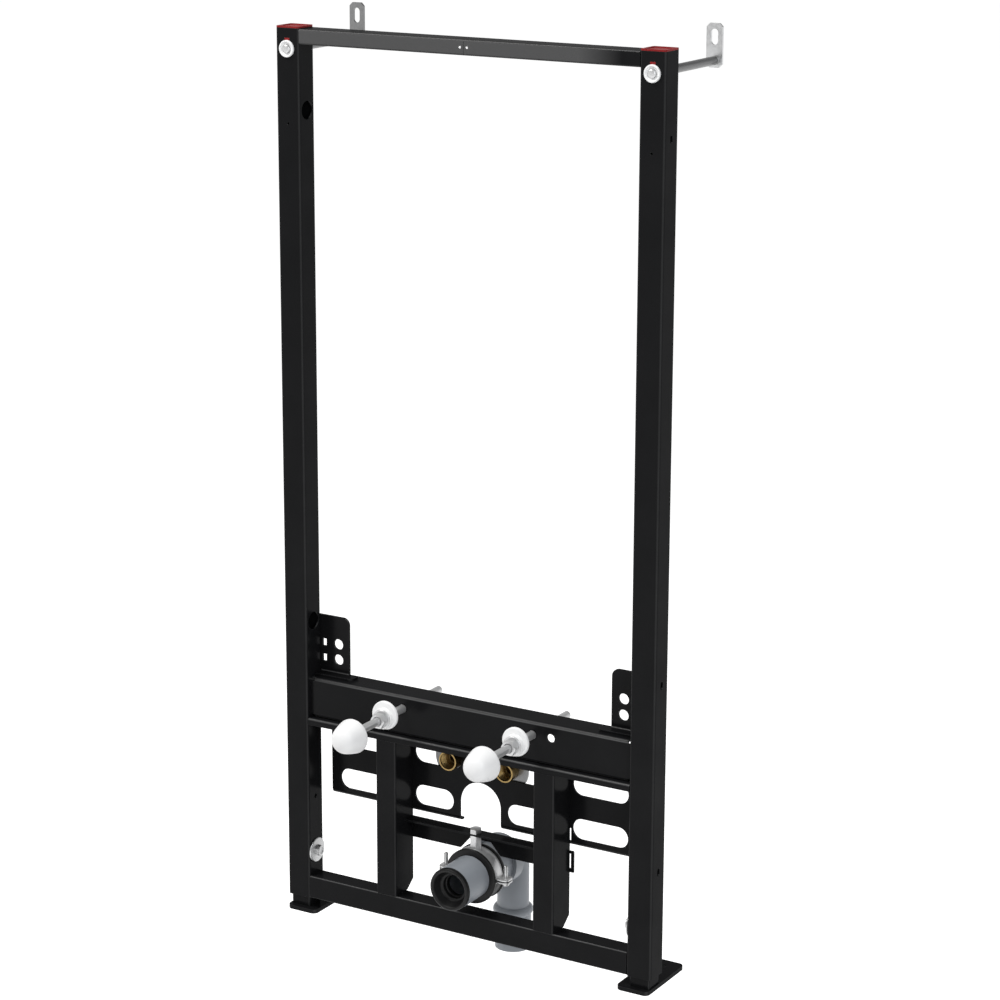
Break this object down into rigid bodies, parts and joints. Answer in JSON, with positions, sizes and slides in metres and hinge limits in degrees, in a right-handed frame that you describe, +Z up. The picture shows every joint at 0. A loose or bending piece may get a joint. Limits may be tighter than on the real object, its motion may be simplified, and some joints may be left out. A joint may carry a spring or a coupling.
{
  "type": "bidet installation frame",
  "caption": "Tall black steel installation frame for a wall-hung bidet, with wall anchors, telescopic feet, fixing studs, water elbows and a clamped waste bend.",
  "frame": {"origin": "on the wall face of the right wall plate, on the axis of its anchor rod", "axes": "+X to the right seen from the front, +Y towards the wall, +Z up"},
  "size_m": [0.51, 0.2773, 1.1507],
  "materials": {
    "black_steel": "glossy black powder coat",
    "zinc_steel": "zinc-plated steel",
    "red_plastic": "dark red plastic",
    "white_plastic": "white plastic",
    "grey_pipe": "blue-grey polypropylene",
    "black_rubber": "black rubber",
    "brass": "plain brass"
  },
  "bodies": {
    "frame": {"right_upright": "black_steel", "left_upright": "black_steel", "top_bar": "black_steel", "bottom_bar": "black_steel", "bidet_carrier_bar": "black_steel", "connection_plate": "black_steel", "right_post": "black_steel", "left_post": "black_steel", "clamp_bar": "black_steel", "right_side_ear": "black_steel", "left_side_ear": "black_steel", "right_foot_bolt": "zinc_steel", "left_foot_bolt": "zinc_steel", "right_wall_plate": "zinc_steel", "left_wall_plate": "zinc_steel", "right_anchor_rod": "zinc_steel", "left_anchor_rod": "zinc_steel", "right_stud": "zinc_steel", "left_stud": "zinc_steel", "right_stud_nut": "zinc_steel", "left_stud_nut": "zinc_steel", "right_elbow_washer": "zinc_steel", "left_elbow_washer": "zinc_steel", "upper_clamp_band": "zinc_steel", "lower_clamp_band": "zinc_steel", "hanger_bolt": "zinc_steel", "right_end_cap": "red_plastic", "left_end_cap": "red_plastic", "right_anchor_washer": "white_plastic", "left_anchor_washer": "white_plastic", "right_anchor_bush": "white_plastic", "left_anchor_bush": "white_plastic", "right_stud_disc": "white_plastic", "left_stud_disc": "white_plastic", "right_stud_cap": "white_plastic", "left_stud_cap": "white_plastic", "waste_bend": "grey_pipe", "inlet_seal": "black_rubber", "clamp_lining": "black_rubber", "right_water_elbow": "brass", "left_water_elbow": "brass"},
    "right_leg": {"right_foot": "black_steel", "right_foot_plate": "black_steel"},
    "left_leg": {"left_foot": "black_steel", "left_foot_plate": "black_steel"}
  },
  "joints": [
    {"name": "right_foot_slide", "type": "slide", "parent": "frame", "child": "right_leg", "axis": [0, 0, -1], "range_m": [0, 0.2]},
    {"name": "left_foot_slide", "type": "slide", "parent": "frame", "child": "left_leg", "axis": [0, 0, -1], "range_m": [0, 0.2]}
  ]
}
